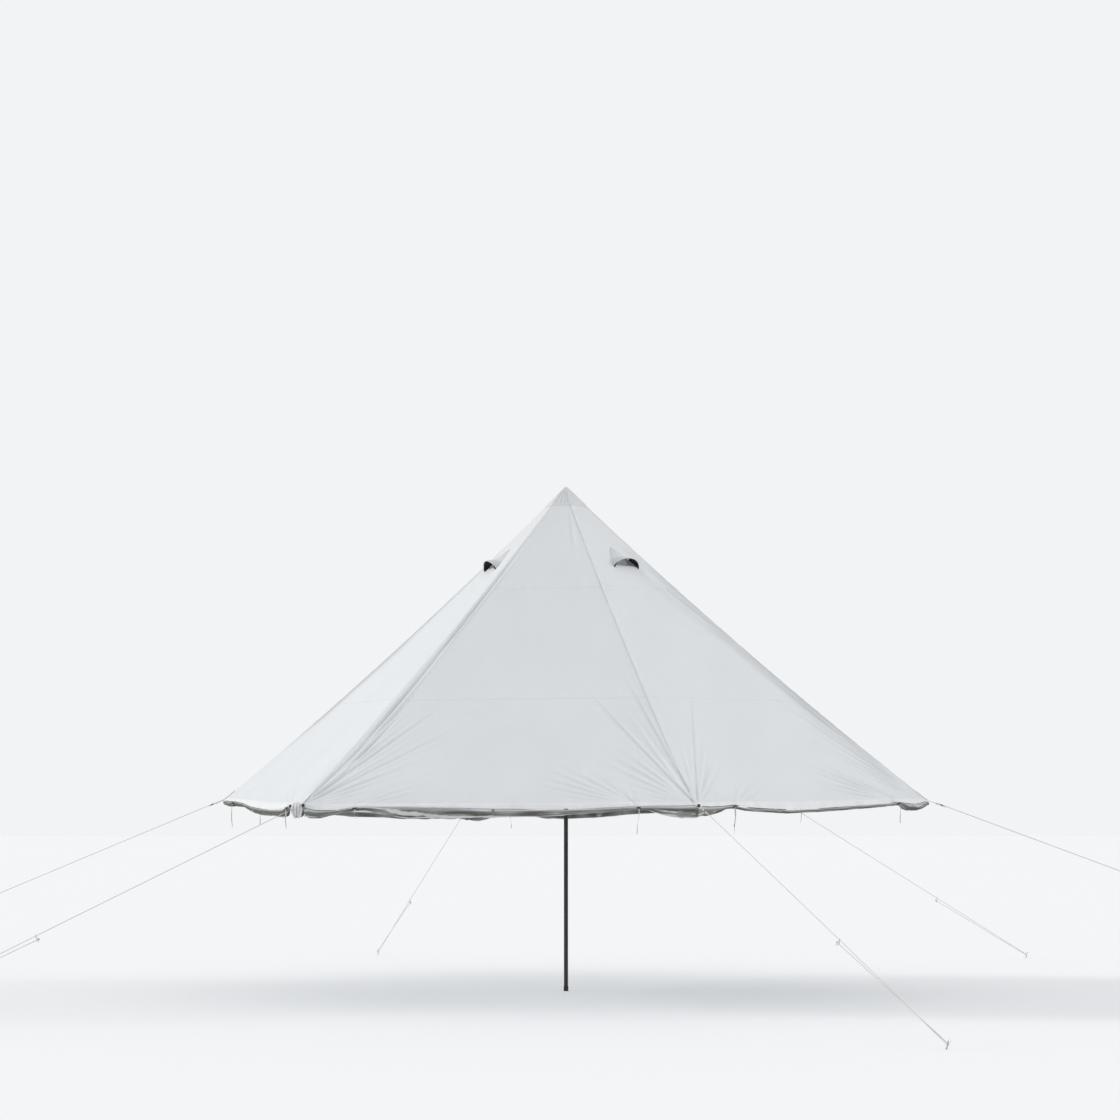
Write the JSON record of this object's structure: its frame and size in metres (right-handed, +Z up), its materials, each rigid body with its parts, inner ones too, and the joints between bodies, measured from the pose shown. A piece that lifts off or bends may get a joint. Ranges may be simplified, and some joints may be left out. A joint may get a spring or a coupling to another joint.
{
  "type": "hexagonal canopy tent",
  "caption": "Hexagonal white canopy tent on a centre pole, with hooded vents, rolled-up walls tied under the eaves, and pegged guy ropes with sliders.",
  "frame": {"origin": "on the ground at the middle of the pole's foot", "axes": "+Z up, the front panel faces -Y, +X to the right along the corners on the left and right"},
  "size_m": [16.0089, 14.0535, 4.8035],
  "materials": {
    "canvas": "matt woven cotton and polyester",
    "webbing": "woven webbing with a steel ring",
    "rope": "braided cord",
    "slider": "matt",
    "steel": "galvanised",
    "pole": "black satin powder coat",
    "rubber": "matt"
  },
  "bodies": {
    "root": {"roof_front": "canvas", "roof_right_front": "canvas", "roof_right_back": "canvas", "roof_back": "canvas", "roof_left_back": "canvas", "roof_left_front": "canvas", "apex_cap": "canvas", "vent_hood_right_front": "canvas", "vent_hood_right_back": "canvas", "vent_hood_left_back": "canvas", "vent_hood_left_front": "canvas", "wall_roll_front": "canvas", "wall_roll_right_front": "canvas", "wall_roll_right_back": "canvas", "wall_roll_back": "canvas", "wall_roll_left_back": "canvas", "wall_roll_left_front": "canvas", "wall_gather": "canvas", "corner_tab_front_right": "webbing", "corner_tab_right": "webbing", "corner_tab_back_right": "webbing", "corner_tab_back_left": "webbing", "corner_tab_left": "webbing", "corner_tab_front_left": "webbing", "guy_rope_front_right": "rope", "guy_rope_right": "rope", "guy_rope_back_right": "rope", "guy_rope_back_left": "rope", "guy_rope_left": "rope", "guy_rope_front_left": "rope", "line_runner_front_right": "slider", "line_runner_right": "slider", "line_runner_back_right": "slider", "line_runner_back_left": "slider", "line_runner_left": "slider", "line_runner_front_left": "slider", "peg_front_right": "steel", "peg_right": "steel", "peg_back_right": "steel", "peg_back_left": "steel", "peg_left": "steel", "peg_front_left": "steel", "pole_foot": "rubber", "pole_lower": "pole", "pole_middle": "pole", "pole_upper": "pole", "pole_tip": "rubber"}
  },
  "joints": []
}
